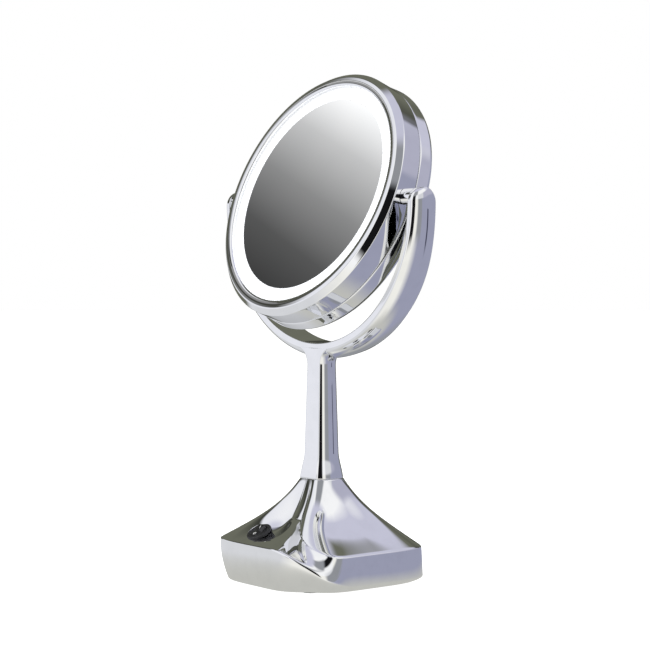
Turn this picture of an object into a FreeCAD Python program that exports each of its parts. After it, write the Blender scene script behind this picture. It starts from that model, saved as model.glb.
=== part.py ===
"""Lighted vanity mirror: a tilting double-sided head in a C-shaped yoke, on a flared stem and a base.

Frame: millimetres, Z up, front towards -Y, origin on the table under the stem's axis.
The head is modelled face up about its own axis W, then tilted into the yoke.
"""
import FreeCAD, Part
import math
import os

V = FreeCAD.Vector

# ---- Driving dimensions ----
PIVOT_Z = 309.0            # height of the tilt axis
HEAD_TILT = 22.0           # the mirror leans back from upright, degrees
DRUM_R = 105.0             # outer radius of the mirror drum
DRUM_WALL = 2.2
LIP_W = 15.8               # front lip, measured along W from the tilt axis
LIP_OUTER_R = 100.7        # the flat lip ends here and the chamfer begins
LIP_INNER_R = 93.3         # window in the bezel
CHAMFER_W = 10.7
SEAM_W = -6.8              # joint between front bezel and rear cover
REAR_W = -19.9             # rear edge of the drum
REAR_R = 106.3
REAR_WINDOW_R = 91.0       # opening for the magnifying mirror
FACE_W = 12.0              # face of the glass and of the lit ring
MIRROR_R = 82.0            # silvered front mirror
MIRROR_T = 3.0
RING_T = 2.2               # frosted ring
MAGNIFIER_R = 94.6
MAGNIFIER_T = 3.0
MAGNIFIER_SAG = 8.0        # depth of the concave face
LED_COUNT = 24
LED_RING_R = 88.0
LIGHT_W = 6.0              # top of the tray's outer flange, under the LED board
TRAY_T = 2.0
TRAY_R = 101.6
BOARD_T = 1.2
CASE_SCREWS = 6
CASE_SCREW_R = 98.4

YOKE_INNER_R = 116.4       # inside of the C, about the tilt axis
YOKE_FRONT_Y = -8.5        # plane of the flat front face
YOKE_REAR_Y = 17.5
YOKE_FRONT_X = 120.0       # outer edge of the arms at axis height, front face
YOKE_FRONT_LOW = 122.0     # outer edge below the axis, front face
YOKE_REAR_X = 123.0        # the same, on the rear edge
YOKE_REAR_LOW = 127.0
ARM_END_R = 11.5           # rounding of the arm ends, seen from the side
ARM_END_Y = 3.0
ARM_END_Z = 304.5
SHELL = 1.5                # wall of the yoke moulding
COVER_T = 2.0              # rear strip of the yoke
STRIP_TOP_Z = 238.0        # the strip ends here on both arms

STEM_FOOT_Z = 83.0         # seam between stem and base
STEM_TAPER = 0.033         # growth of the radius per millimetre downwards
STEM_WALL = 2.2
BELL_TOP_Z = 104.0         # the foot begins to flare here
BELL_GROWTH = 3.1
NECK_R = 11.6              # stem radius just under the fillet
NECK_FILLET_R = 15.0       # fillet between stem and yoke in the front face
FILLET_FOOT_Z = 174.0
FILLET_TOP_Z = 188.6
TUBE_TOP_Z = 166.0
TUBE_FOOT_Z = 68.0
WEB_TOP_Z = 86.0
CORE_Z = 150.0
TUBE_R = 5.0               # steel support tube
TUBE_BORE = 3.4

BASE_HALF_X = 63.0         # outline on the table
BASE_HALF_Y = 65.0
BASE_BULGE = 1.12          # the wall's widest outline against the one on the table
BASE_POWER = 3.0           # exponent of the squarish outline
BASE_WALL_Z = 28.0         # top edge of the wall
BASE_SHELL = 2.6
FOOT_H = 2.4
RIM_Z = 1.3                # lower edge of the base cover

SWITCH_X = -16.0
SWITCH_Y = -51.0
SWITCH_Z = 40.6
SWITCH_SLOPE = 28.0        # the front slope at the switch, degrees
BEZEL_R = 10.5
BEZEL_H = 2.0
BARREL_R = 9.4
BARREL_DEPTH = 13.0
ROCKER_ANGLE = 12.0        # either side of level
ROCKER_HALF = 6.4          # half its length up and down the slope
ROCKER_HALF_WIDTH = 5.0

PIVOT_R = 2.5              # pivot stud
PIVOT_BORE = 1.1           # the lead passes through the right-hand stud
PIVOT_CLEAR = 0.06
BUSH_R = 4.0
BOSS_R = 5.5
BOSS_INNER_X = 97.0
COLLAR_R = 6.5
COLLAR_X = 105.3           # end of the collar beside the drum
LEAD_R = 0.55
SIDES = (("left", -1), ("right", 1))

os.makedirs("parts", exist_ok=True)


# ---- Helpers ----
def save(name, *solids):
    """Write one node; its separate pieces stay separate solids."""
    shape = solids[0] if len(solids) == 1 else Part.makeCompound(list(solids))
    assert shape.isValid(), name
    shape.exportStep("parts/" + name + ".step")


def tube(outer, inner, low, high):
    """Ring about Z."""
    body = Part.makeCylinder(outer, high - low, V(0, 0, low))
    return body.cut(Part.makeCylinder(inner, high - low, V(0, 0, low)))


def disc(radius, low, high, x=0.0, y=0.0):
    return Part.makeCylinder(radius, high - low, V(x, y, low))


def block(x0, x1, y0, y1, z0, z1):
    return Part.makeBox(x1 - x0, y1 - y0, z1 - z0, V(x0, y0, z0))


def turned(points):
    """Solid of revolution about Z from (radius, height) points."""
    wire = Part.makePolygon([V(r, 0, z) for r, z in points + points[:1]])
    return Part.Face(wire).revolve(V(0, 0, 0), V(0, 0, 1), 360)


def across(radius, x0, x1, y=0.0, z=0.0):
    """Cylinder along X."""
    return Part.makeCylinder(radius, x1 - x0, V(x0, y, z), V(1, 0, 0))


def mirrored(shape, side):
    """The shape itself on the right-hand side, its mirror image on the left."""
    return shape.copy() if side > 0 else shape.mirror(V(0, 0, 0), V(1, 0, 0))


def cord_radii(points):
    """Bend radius at each inner point: as large as the shorter run beside it allows."""
    radii = []
    for before, corner, after in zip(points, points[1:], points[2:]):
        run_in = corner - before
        run_out = after - corner
        half_turn = run_in.getAngle(run_out) / 2
        radii.append(0.45 * min(run_in.Length, run_out.Length) / math.tan(half_turn))
    print("lead radii", [round(r, 1) for r in radii])
    return radii


def polar(radius, degrees):
    angle = math.radians(degrees)
    return radius * math.cos(angle), radius * math.sin(angle)


def in_head(shape):
    """Take a shape from the face-up head frame into the tilted head."""
    placed = shape.copy()
    placed.rotate(V(0, 0, 0), V(1, 0, 0), 90 - HEAD_TILT)
    placed.translate(V(0, 0, PIVOT_Z))
    return placed


def save_head(name, *solids):
    save(name, *[in_head(s) for s in solids])


def rounded_path(points, radii):
    """Wire of straight runs joined by tangent arcs."""
    edges = []
    start = points[0]
    for before, corner, after, radius in zip(points, points[1:], points[2:], radii):
        inward = (before - corner).normalize()
        outward = (after - corner).normalize()
        half = inward.getAngle(outward) / 2
        setback = radius / math.tan(half)
        middle = (inward + outward).normalize() * (radius / math.sin(half) - radius)
        first = corner + inward * setback
        last = corner + outward * setback
        if (first - start).Length > 0.01:
            edges.append(Part.LineSegment(start, first).toShape())
        edges.append(Part.Arc(first, corner + middle, last).toShape())
        start = last
    edges.append(Part.LineSegment(start, points[-1]).toShape())
    return Part.Wire(edges)


def wire_along(points, radii, radius):
    """Round wire along a rounded path."""
    path = rounded_path(points, radii)
    section = Part.Wire(Part.makeCircle(radius, points[0], points[1] - points[0]))
    return path.makePipeShell([section], True, True)


# ---- Head, face up about W ----
def screw_places():
    return [polar(CASE_SCREW_R, 360.0 / CASE_SCREWS * (k + 0.5)) for k in range(CASE_SCREWS)]


def front_bezel():
    """Drum front: flat lip, chamfer, side wall and the two pivot bosses."""
    inner = DRUM_R - DRUM_WALL
    shell = turned([
        (LIP_INNER_R, LIP_W), (LIP_OUTER_R, LIP_W), (DRUM_R, CHAMFER_W), (DRUM_R, SEAM_W),
        (inner, SEAM_W), (inner, CHAMFER_W - 0.8), (LIP_OUTER_R - 1.2, LIP_W - 2.2),
        (LIP_INNER_R + 1.6, LIP_W - 2.2), (LIP_INNER_R + 1.6, FACE_W), (LIP_INNER_R, FACE_W)])
    for start in (BOSS_INNER_X, 1.0 - DRUM_R):
        boss = across(BOSS_R, start, start + DRUM_R - 1.0 - BOSS_INNER_X)
        shell = shell.fuse(boss)
    for start in (90.0, -120.0):
        shell = shell.cut(across(BUSH_R, start, start + 30.0))
    return shell


def rear_cover():
    """Drum rear: side wall, rounded rear edge, window of the magnifying mirror, screw bosses."""
    inner = DRUM_R - DRUM_WALL
    floor = REAR_W + 1.8
    shell = turned([
        (DRUM_R, SEAM_W), (REAR_R, REAR_W + 3), (REAR_R - 0.9, REAR_W + 0.9), (REAR_R - 3, REAR_W),
        (REAR_WINDOW_R, REAR_W), (REAR_WINDOW_R, floor), (inner - 0.6, floor), (inner, SEAM_W)])
    for x, y in screw_places():
        shell = shell.fuse(disc(3.4, floor - 0.6, SEAM_W, x, y))
    for x, y in screw_places():
        shell = shell.cut(disc(1.5, REAR_W - 1, SEAM_W + 1, x, y))
        shell = shell.cut(disc(2.8, REAR_W - 1, REAR_W + 5.0, x, y))
    return shell


def case_screw(x, y):
    """Pan-head screw driven from the rear into a boss of the tray."""
    under = REAR_W + 4.95
    head = disc(2.6, REAR_W + 3.0, under, x, y)
    shank = disc(1.4, under, SEAM_W + 7.0, x, y)
    slot = block(x - 1.8, x + 1.8, y - 0.35, y + 0.35, REAR_W + 3.0, REAR_W + 3.9)
    other = block(x - 0.35, x + 0.35, y - 1.8, y + 1.8, REAR_W + 3.0, REAR_W + 3.9)
    return head.fuse(shank).cut(slot.fuse(other))


def mirror_tray():
    """White moulding that carries the front mirror, the light channel and the LED board."""
    face = FACE_W - MIRROR_T - 1.0
    tray = turned([
        (0, face - TRAY_T), (0, face), (MIRROR_R, face), (MIRROR_R, LIGHT_W), (TRAY_R, LIGHT_W),
        (TRAY_R, LIGHT_W - TRAY_T), (MIRROR_R - TRAY_T, LIGHT_W - TRAY_T), (MIRROR_R - TRAY_T, face - TRAY_T)])
    for x, y in screw_places():
        tray = tray.fuse(disc(3.0, SEAM_W, LIGHT_W - 1, x, y))
    for x, y in screw_places():
        tray = tray.cut(disc(1.45, SEAM_W - 1, SEAM_W + 9, x, y))
    for start in (86.0, -106.0):
        tray = tray.cut(block(start, start + 20, -6.5, 6.5, LIGHT_W - TRAY_T - 1, LIGHT_W + 1))
    return tray.cut(disc(1.5, LIGHT_W - TRAY_T - 1, LIGHT_W + 1, *HEAD_LEAD_HOLE))


def light_reflector():
    """White channel that throws the light forward into the frosted ring."""
    inside = MIRROR_R + 0.3
    outside = LIP_INNER_R + 4.0
    floor = LIGHT_W + BOARD_T
    ring = turned([
        (inside, floor), (outside, floor), (outside, FACE_W - RING_T), (outside - 1.0, FACE_W - RING_T),
        (outside - 2.6, floor + 0.6), (inside, floor + 0.6)])
    for angle in led_angles():
        ring = ring.cut(disc(2.6, floor - 1, floor + 1, *polar(LED_RING_R, angle)))
    return ring


def led_angles():
    return [360.0 / LED_COUNT * (k + 0.5) for k in range(LED_COUNT)]


def led():
    """Surface-mount LED with a domed lens, at the ring's radius on +X."""
    low = LIGHT_W + BOARD_T
    body = block(LED_RING_R - 1.7, LED_RING_R + 1.7, -1.4, 1.4, low, low + 1.1)
    dome = Part.makeSphere(1.1, V(LED_RING_R, 0, low + 1.0))
    return body.fuse(dome.common(block(80, 100, -2, 2, low + 1.0, low + 3)))


def magnifying_mirror():
    """Glass with a hollow face towards the rear, ground on a large sphere."""
    face = REAR_W + 1.8
    radius = (MAGNIFIER_R ** 2 + MAGNIFIER_SAG ** 2) / (2 * MAGNIFIER_SAG)
    centre = V(0, 0, face + MAGNIFIER_SAG - radius)
    blank = disc(MAGNIFIER_R, face, face + MAGNIFIER_SAG + MAGNIFIER_T)
    blank = blank.common(Part.makeSphere(radius + MAGNIFIER_T, centre))
    return blank.cut(Part.makeSphere(radius, centre))


HEAD_LEAD_HOLE = (90.0, 17.0)
HEAD_LEAD_POINTS = [V(89.5, 0, 0), V(76, 0, 0), V(74, 15, -3), V(90, 17, -3), V(90, 17, LIGHT_W)]


def head_pieces():
    under_glass = FACE_W - MIRROR_T
    save_head("front_bezel", front_bezel())
    save_head("rear_cover", rear_cover())
    save_head("mirror_tray", mirror_tray())
    save_head("light_reflector", light_reflector())
    save_head("front_mirror", disc(MIRROR_R, under_glass, FACE_W - 0.3))
    pads = [disc(11, under_glass - 1.0, under_glass, *polar(48, 60 * k)) for k in range(6)]
    save_head("mirror_pads", *pads)
    save_head("light_ring", tube(LIP_INNER_R + 4.0, MIRROR_R + 0.15, FACE_W - RING_T, FACE_W - 0.2))
    save_head("led_board", tube(TRAY_R - 3.5, MIRROR_R + 0.3, LIGHT_W, LIGHT_W + BOARD_T))
    leds = []
    for angle in led_angles():
        one = led()
        one.rotate(V(0, 0, 0), V(0, 0, 1), angle)
        leds.append(one)
    save_head("leds", *leds)
    save_head("magnifying_mirror", magnifying_mirror())
    save_head("case_screws", *[case_screw(x, y) for x, y in screw_places()])
    for name, side in SIDES:
        bush = across(BUSH_R, BOSS_INNER_X, DRUM_R).cut(across(PIVOT_R + PIVOT_CLEAR, 90, 110))
        save_head("pivot_bush_" + name, mirrored(bush, side))
    radii = cord_radii(HEAD_LEAD_POINTS)
    save_head("head_lead", wire_along(HEAD_LEAD_POINTS, radii, LEAD_R))


# ---- Pivots ----
def hexagon(across_flats, x0, x1):
    """Hexagonal nut blank along X."""
    corner = across_flats / math.sqrt(3)
    ring = [V(x0, *polar(corner, 60 * k)) for k in range(7)]
    return Part.Face(Part.makePolygon(ring)).extrude(V(x1 - x0, 0, 0))


def at_pivot(shape, side):
    placed = mirrored(shape, side)
    placed.translate(V(0, 0, PIVOT_Z))
    return placed


def pivot_pieces():
    nut_x = 91.6
    washer_x = 95.5
    flange_x = COLLAR_X + 2.0
    for name, side in SIDES:
        stud = across(PIVOT_R, 90.8, flange_x).fuse(across(4.6, flange_x, flange_x + 1.5))
        save("pivot_stud_" + name, at_pivot(stud.cut(across(PIVOT_BORE, 90, 120)), side))
        collar = across(COLLAR_R, COLLAR_X, YOKE_INNER_R).cut(across(5.0, flange_x, YOKE_INNER_R))
        arm_bore = bore_of_yoke(YOKE_INNER_R).translated(V(0, 0, -PIVOT_Z))
        collar = collar.cut(across(PIVOT_R, 100, 110)).common(arm_bore)
        save("pivot_collar_" + name, at_pivot(collar, side))
        nut = hexagon(8.0, nut_x, washer_x).cut(across(PIVOT_R, 90, 100))
        save("pivot_nut_" + name, at_pivot(nut, side))
        washer = across(4.6, washer_x, BOSS_INNER_X - 0.1).cut(across(PIVOT_R, 90, 100))
        save("pivot_washer_" + name, at_pivot(washer, side))


# ---- Yoke and stem ----
def ring_solid(inset, front_y, rear_y):
    """Solid inside the yoke's outer surface, pulled in by the inset."""
    rims = []
    front_face = (YOKE_FRONT_Y, YOKE_FRONT_LOW, YOKE_FRONT_X)
    rear_face = (YOKE_REAR_Y, YOKE_REAR_LOW, YOKE_REAR_X)
    for y, low, half in (front_face, rear_face):
        drop = (low * low - half * half) / (2 * low)
        centre = V(0, y, PIVOT_Z - drop)
        rims.append(Part.Wire(Part.makeCircle(low - drop - inset, centre, V(0, 1, 0))))
    solid = Part.makeLoft(rims, True, True)
    return solid.common(block(-140, 140, front_y, rear_y, 150, 450))


def bore_of_yoke(radius):
    return Part.makeCylinder(radius, 60, V(0, -30, PIVOT_Z), V(0, 1, 0))


def arm_profile():
    """Side view of the arms: straight front, rounded ends, rear edge drawn in towards the ends."""
    front = V(0, YOKE_FRONT_Y, ARM_END_Z)
    top = V(0, ARM_END_Y, ARM_END_Z + ARM_END_R)
    back = V(0, ARM_END_Y + ARM_END_R, ARM_END_Z)
    edges = [
        Part.Arc(front, top, back).toShape(),
        Part.LineSegment(back, V(0, YOKE_REAR_Y, STRIP_TOP_Z)).toShape(),
        Part.LineSegment(V(0, YOKE_REAR_Y, STRIP_TOP_Z), V(0, YOKE_REAR_Y, 150)).toShape(),
        Part.LineSegment(V(0, YOKE_REAR_Y, 150), V(0, YOKE_FRONT_Y, 150)).toShape(),
        Part.LineSegment(V(0, YOKE_FRONT_Y, 150), front).toShape()]
    face = Part.Face(Part.Wire(edges))
    face.translate(V(-140, 0, 0))
    return face.extrude(V(280, 0, 0))


def stem_section(z, front, flat_half, rear):
    """Flat front edge closed by an oval arc behind it; flat_half is half the front edge."""
    half_x = flat_half / math.sqrt(1 - (front / rear) ** 2)
    start = math.asin(front / rear)
    steps = 16
    points = []
    for k in range(steps + 1):
        angle = start + (math.pi - 2 * start) * k / steps
        points.append(V(half_x * math.cos(angle), rear * math.sin(angle), z))
    curve = Part.BSplineCurve()
    curve.interpolate(points)
    return Part.Wire([curve.toShape(), Part.LineSegment(points[-1], points[0]).toShape()])


def stem_radius(z):
    """Slender taper with a bell at the foot."""
    taper = NECK_R + STEM_TAPER * (FILLET_FOOT_Z - z)
    bell = min(1.0, max(0.0, (BELL_TOP_Z - z) / (BELL_TOP_Z - STEM_FOOT_Z + 2)))
    return taper + BELL_GROWTH * bell * bell * (3 - 2 * bell)


def stem_front(radius):
    """Plane of the flat front face where the stem has this radius."""
    return YOKE_FRONT_Y - 0.95 * (radius - NECK_R)


def stem_outline(z, inset=0.0):
    radius = stem_radius(z)
    front = stem_front(radius)
    return stem_section(z, front + inset, math.sqrt(radius ** 2 - front ** 2) - inset, radius - inset)


def stem_solid():
    """Stem that widens to its foot and flares through a round fillet into the yoke."""
    heights = [STEM_FOOT_Z + 3.5 * k for k in range(7)] + [STEM_FOOT_Z + 21 + 13.2 * k for k in range(1, 6)]
    sections = [stem_outline(z) for z in heights]
    flat = math.sqrt(NECK_R ** 2 - YOKE_FRONT_Y ** 2)
    centre_x = flat + NECK_FILLET_R
    rise = FILLET_TOP_Z - FILLET_FOOT_Z
    for part in (0.0, 0.35, 0.62, 0.82, 0.94, 1.0):
        height = rise * part
        half = centre_x - math.sqrt(NECK_FILLET_R ** 2 - height ** 2)
        rear = NECK_R + 4.0 * part ** 2
        sections.append(stem_section(FILLET_FOOT_Z + height, YOKE_FRONT_Y, half, rear))
    return Part.makeLoft(sections, True, False)


def stem_hollow():
    """Inside of the stem, between the web at its foot and the solid core at its neck."""
    heights = (WEB_TOP_Z, BELL_TOP_Z - 8, BELL_TOP_Z, CORE_Z)
    side = [(stem_radius(z) - STEM_WALL, z) for z in heights]
    bore = turned([(0, WEB_TOP_Z)] + side + [(0, CORE_Z)])
    return bore.common(block(-30, 30, YOKE_FRONT_Y + STEM_WALL, 30, WEB_TOP_Z, CORE_Z))


def yoke_outer():
    ring = ring_solid(0.0, YOKE_FRONT_Y, YOKE_REAR_Y)
    at_rear = [e for e in ring.Edges if abs(e.BoundBox.YMin - YOKE_REAR_Y) < 0.01]
    ring = ring.makeFillet(2.5, [e for e in at_rear if e.BoundBox.XLength > YOKE_INNER_R])
    return ring.cut(bore_of_yoke(YOKE_INNER_R)).common(arm_profile())


def channel():
    """Hollow of the arms: open to the rear below the strip's ends, closed above them."""
    front = YOKE_FRONT_Y + SHELL + 0.2
    below_strip = block(-140, 140, front, YOKE_REAR_Y + 1, 150, STRIP_TOP_Z)
    above_strip = block(-140, 140, -5.2, 10.8, STRIP_TOP_Z - 1, PIVOT_Z + 1.5)
    low = ring_solid(SHELL, front, YOKE_REAR_Y).common(below_strip)
    high = ring_solid(SHELL, -5.2, 10.8).common(above_strip)
    return low.fuse(high).cut(bore_of_yoke(YOKE_INNER_R + SHELL))


def neck_screw(side):
    """Small cross-head screw sunk in the fillet, pointing up into the neck."""
    head = disc(2.8, -1.4, 0.0)
    shank = disc(1.2, 0.0, 8.0)
    slot = block(-1.7, 1.7, -0.3, 0.3, -1.4, -0.6).fuse(block(-0.3, 0.3, -1.7, 1.7, -1.4, -0.6))
    screw = head.fuse(shank).cut(slot)
    screw.rotate(V(0, 0, 0), V(0, 1, 0), -35)
    screw.translate(V(12.4, 0.0, 180.4))
    return mirrored(screw, side)


def screw_pocket(side):
    pocket = disc(3.0, -8.0, 0.05).fuse(disc(1.25, 0.0, 8.2))
    pocket.rotate(V(0, 0, 0), V(0, 1, 0), -35)
    pocket.translate(V(12.4, 0.0, 180.4))
    return mirrored(pocket, side)


def yoke_stem():
    """One moulding from the arm ends down to the stem's foot."""
    body = yoke_outer().fuse(stem_solid())
    body = body.cut(channel())
    body = body.cut(stem_hollow())
    body = body.cut(disc(TUBE_R + 0.05, STEM_FOOT_Z - 1, TUBE_TOP_Z))
    body = body.cut(disc(TUBE_BORE, TUBE_TOP_Z - 1, PIVOT_Z - YOKE_INNER_R - SHELL))
    body = body.cut(block(-2, 12, -2, 2, 178, PIVOT_Z - YOKE_INNER_R - SHELL))
    body = body.cut(across(5.0, -YOKE_INNER_R - 2, YOKE_INNER_R + 2, 0, PIVOT_Z))
    for _, side in SIDES:
        body = body.cut(screw_pocket(side))
    return body


def yoke_strip():
    """Rear strip that closes the channel of the arms."""
    gap = 0.08
    strip = ring_solid(SHELL + gap, YOKE_REAR_Y - COVER_T, YOKE_REAR_Y - 0.02)
    strip = strip.cut(bore_of_yoke(YOKE_INNER_R + SHELL + gap))
    return strip.common(block(-140, 140, -30, 30, 150, STRIP_TOP_Z - gap))


def lead_path():
    """Lead from the drum through the right-hand pivot, down the arm and the stem to the base."""
    arm_r = YOKE_INNER_R + SHELL + 0.85
    top_r = 7.0
    neck_r = 10.0
    top_x = math.sqrt((arm_r - top_r) ** 2 - top_r ** 2)
    neck_z = math.sqrt((arm_r + neck_r) ** 2 - neck_r ** 2)

    def on_arm(x, z):
        scale = arm_r / math.hypot(x, z)
        return V(x * scale, 0, PIVOT_Z + z * scale)

    def between(x, z, radius, degrees):
        dx, dz = polar(radius, degrees)
        return V(x + dx, 0, PIVOT_Z + z + dz)

    start = V(91.2, 0, PIVOT_Z)
    turn_in = V(top_x, 0, PIVOT_Z)
    arm_top = on_arm(top_x, -top_r)
    arm_low = on_arm(neck_r, -neck_z)
    neck = V(0, 0, PIVOT_Z - neck_z)
    edges = [
        Part.LineSegment(start, turn_in).toShape(),
        Part.Arc(turn_in, between(top_x, -top_r, top_r, 43), arm_top).toShape(),
        Part.Arc(arm_top, between(0, 0, arm_r, -44), arm_low).toShape(),
        Part.Arc(arm_low, between(neck_r, -neck_z, neck_r, 137), neck).toShape()]
    foot = [neck, V(0, 0, 40), V(0, 34, 30), V(0, 46, 11.0)]
    return Part.Wire(edges + rounded_path(foot, cord_radii(foot)).Edges)


def stand_pieces():
    save("yoke_stem", yoke_stem())
    save("yoke_strip", yoke_strip())
    save("neck_screws", *[neck_screw(side) for _, side in SIDES])
    pipe = disc(TUBE_R, TUBE_FOOT_Z, TUBE_TOP_Z - 0.1).cut(disc(TUBE_BORE, TUBE_FOOT_Z, TUBE_TOP_Z))
    save("support_tube", pipe)
    washer = disc(11.0, 78.4, 79.9).cut(disc(TUBE_R, 70, 90))
    save("tube_washer", washer)
    corner = 15.0 / math.sqrt(3)
    sides = Part.makePolygon([V(*polar(corner, 60 * k), 72.4) for k in range(7)])
    nut = Part.Face(sides).extrude(V(0, 0, 6))
    save("tube_nut", nut.cut(disc(TUBE_R, 70, 90)))
    path = lead_path()
    section = Part.Wire(Part.makeCircle(LEAD_R, V(91.2, 0, PIVOT_Z), V(1, 0, 0)))
    save("lead_wire", path.makePipeShell([section], True, True))


# ---- Base ----
BASE_PROFILE = (
    (34.0, 62.5, 3.4), (40.0, 52.0, 3.1), (46.0, 41.0, 2.7), (52.0, 34.0, 2.4), (58.0, 28.8, 2.2),
    (65.0, 24.6, 2.1), (74.0, 20.4, 2.0), (STEM_FOOT_Z, 17.6, 2.0))


def squarish(half_x, half_y, power, z):
    """Closed smooth outline between a circle (power 2) and a rounded square."""
    points = []
    steps = 32
    for k in range(steps):
        angle = 2 * math.pi * k / steps
        c = math.cos(angle)
        s = math.sin(angle)
        radius = (abs(c / half_x) ** power + abs(s / half_y) ** power) ** (-1 / power)
        points.append(V(radius * c, radius * s, z))
    curve = Part.BSplineCurve()
    curve.interpolate(points, PeriodicFlag=True)
    return Part.Wire(curve.toShape())


def neck_flat(inset):
    """Wedge in front of the neck, where the stem's flat face runs on down to the slope."""
    front = stem_front(stem_radius(STEM_FOOT_Z)) + inset
    outline = [V(-30, front, STEM_FOOT_Z + 1), V(-30, front - 13.0, 60), V(-30, front - 30.0, 60),
               V(-30, front - 30.0, STEM_FOOT_Z + 1), V(-30, front, STEM_FOOT_Z + 1)]
    return Part.Face(Part.makePolygon(outline)).extrude(V(60, 0, 0))


def base_solid(inset=0.0, low=RIM_Z):
    """Flared wall up to the edge, then the slope that sweeps up to the neck."""
    wall = []
    for part in (0.0, 0.25, 0.55, 1.0):
        z = low + (BASE_WALL_Z - low) * part
        grow = 1 + (BASE_BULGE - 1) * math.sin(math.pi / 2 * part)
        wall.append(squarish(BASE_HALF_X * grow - inset, BASE_HALF_Y * grow - inset, BASE_POWER, z))
    top = [wall[-1]]
    for z, half, power in BASE_PROFILE:
        top.append(squarish(half - inset, half - inset, power, z - inset * 0.6))
    faces = Part.makeLoft(wall, False, False).Faces + Part.makeLoft(top, False, False).Faces
    skin = Part.makeShell(faces + [Part.Face(wall[0]), Part.Face(top[-1])])
    skin.sewShape()
    return Part.makeSolid(skin).cut(neck_flat(inset))


def at_switch(shape):
    placed = shape.copy()
    placed.rotate(V(0, 0, 0), V(1, 0, 0), SWITCH_SLOPE)
    placed.translate(V(SWITCH_X, SWITCH_Y, SWITCH_Z))
    return placed


SCREW_PLACES = [(x, y) for x in (-44, 44) for y in (-30, 30)]
FOOT_PLACES = [(x, y) for x in (-41, 41) for y in (-43, 43)]
PLATE_Z = FOOT_H
PLATE_T = 2.0
BALLAST_T = 5.0
TRAY_HALF_X = 30.5
TRAY_HALF_Y = 29.5
CELL_R = 7.15
CELL_L = 49.2
DOOR_TRAVEL = 8.0


def base_cover():
    """Shell of the base with its neck, screw bosses and the seat of the switch."""
    outside = base_solid()
    shell = outside.cut(base_solid(BASE_SHELL, RIM_Z - 1))
    web = disc(17.0, 80.0, STEM_FOOT_Z)
    seat = at_switch(disc(BARREL_R + 1.8, -4.0, 1.0))
    bosses = [disc(4.0, 9.8, 44, x, y) for x, y in SCREW_PLACES]
    for piece in [web, seat] + bosses:
        shell = shell.fuse(piece.common(outside))
    shell = shell.cut(disc(TUBE_R + 0.05, 70, 90))
    shell = shell.cut(at_switch(disc(BARREL_R + 0.1, -12, 8)))
    shell = shell.cut(at_switch(disc(BEZEL_R + 0.3, 0, 8)))
    for x, y in SCREW_PLACES:
        shell = shell.cut(disc(1.5, 9, 24, x, y))
    return max(shell.Solids, key=lambda solid: solid.Volume)


def base_plate():
    """Black bottom plate with the battery opening and the slide of its door."""
    outline = Part.Face(squarish(BASE_HALF_X - 3.2, BASE_HALF_Y - 3.2, BASE_POWER, PLATE_Z))
    plate = outline.extrude(V(0, 0, PLATE_T))
    plate = plate.cut(block(-29, 29, -28, 28, 0, 10))
    plate = plate.cut(block(-31.3, 31.3, -30.3, 30.3 + DOOR_TRAVEL, 0, PLATE_Z + 1.4))
    for x, y in SCREW_PLACES:
        plate = plate.cut(disc(1.7, 0, 10, x, y)).cut(disc(3.1, 0, PLATE_Z + 1.3, x, y))
    return plate


def battery_door():
    low = PLATE_Z + 0.1
    door = block(-31, 31, -30, 30, low, low + 1.2)
    for k in range(4):
        y = 20.0 + 2.2 * k
        door = door.fuse(block(-9, 9, y, y + 1.0, low - 0.6, low))
    return door


def base_screw(x, y):
    top = PLATE_Z + 1.3
    head = disc(2.8, top - 1.2, top, x, y)
    slot = block(x - 1.8, x + 1.8, y - 0.35, y + 0.35, top - 1.2, top - 0.5)
    other = block(x - 0.35, x + 0.35, y - 1.8, y + 1.8, top - 1.2, top - 0.5)
    return head.fuse(disc(1.45, top, 22, x, y)).cut(slot.fuse(other))


def ballast_plate():
    low = PLATE_Z + PLATE_T
    outline = Part.Face(squarish(BASE_HALF_X - 11, BASE_HALF_Y - 11, BASE_POWER, low))
    plate = outline.extrude(V(0, 0, BALLAST_T))
    opening_x = TRAY_HALF_X + 0.5
    opening_y = TRAY_HALF_Y + 0.5
    plate = plate.cut(block(-opening_x, opening_x, -opening_y, opening_y, 0, 20))
    for x, y in SCREW_PLACES:
        plate = plate.cut(disc(1.8, 0, 20, x, y))
    return plate


def cell_places():
    return [(CELL_R * 2 + 0.1) * (k - 1.5) for k in range(4)]


CELL_Z = PLATE_Z + PLATE_T + 0.4 + CELL_R
COIL_R = 3.4               # contact spring, closed coils
COIL_WIRE_R = 0.3
COIL_PITCH = 0.56
COIL_TURNS = 8
COIL_START_Y = 27.35


def battery_tray():
    """Tray open downwards, with shallow saddles between the four cells."""
    low = PLATE_Z + PLATE_T
    high = CELL_Z + CELL_R + 2.2
    tray = block(-TRAY_HALF_X, TRAY_HALF_X, -TRAY_HALF_Y, TRAY_HALF_Y, low, high)
    tray = tray.cut(block(-29, 29, -28, 28, low - 1, high - 1.6))
    for x in cell_places()[:3]:
        middle = x + CELL_R + 0.05
        tray = tray.fuse(block(middle - 0.8, middle + 0.8, -20, 20, high - 4.0, high - 1.6))
    return tray


def battery_cell(x, turned_round):
    """AA cell: can, raised terminal and the shallow step of its flat end."""
    can = Part.makeCylinder(CELL_R, CELL_L, V(x, -CELL_L / 2, CELL_Z), V(0, 1, 0))
    nub = Part.makeCylinder(2.7, 1.3, V(x, CELL_L / 2, CELL_Z), V(0, 1, 0))
    cell = can.fuse(nub)
    if turned_round:
        cell.rotate(V(x, 0, CELL_Z), V(0, 0, 1), 180)
    cell.translate(V(0, -1.8 if turned_round else 1.8, 0))
    return cell


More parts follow.
